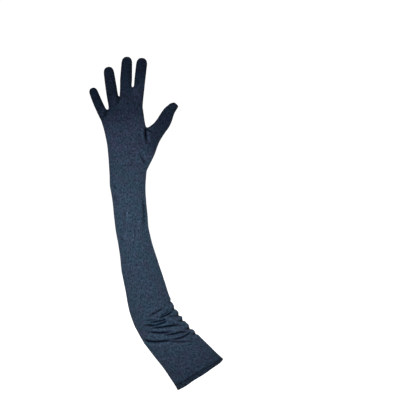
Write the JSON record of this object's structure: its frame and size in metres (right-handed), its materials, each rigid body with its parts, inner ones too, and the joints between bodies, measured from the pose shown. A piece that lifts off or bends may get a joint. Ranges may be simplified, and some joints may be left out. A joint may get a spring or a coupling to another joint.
{
  "type": "long glove",
  "caption": "Long five-finger dress glove in the filled form it has on a left arm, with an open hemmed mouth, folds at the elbow and hollow finger stalls.",
  "frame": {"origin": "centre of the arm opening at the edge of the hem", "axes": "+Z from the arm opening to the wrist, +X the thumb side, -Y the back of the hand"},
  "size_m": [0.1852, 0.078, 0.5299],
  "materials": {
    "jersey": "matt heathered stretch jersey, dark blue-grey with paler flecks",
    "hem_jersey": "the same jersey, doubled and stitched"
  },
  "bodies": {
    "root": {"back_sleeve": "jersey", "back_forearm": "jersey", "back_hand": "jersey", "back_index": "jersey", "back_middle": "jersey", "back_ring": "jersey", "back_little": "jersey", "back_thumb": "jersey", "palm_sleeve": "jersey", "palm_forearm": "jersey", "palm_hand": "jersey", "palm_index": "jersey", "palm_middle": "jersey", "palm_ring": "jersey", "palm_little": "jersey", "palm_thumb": "jersey", "hem": "hem_jersey"}
  },
  "joints": []
}
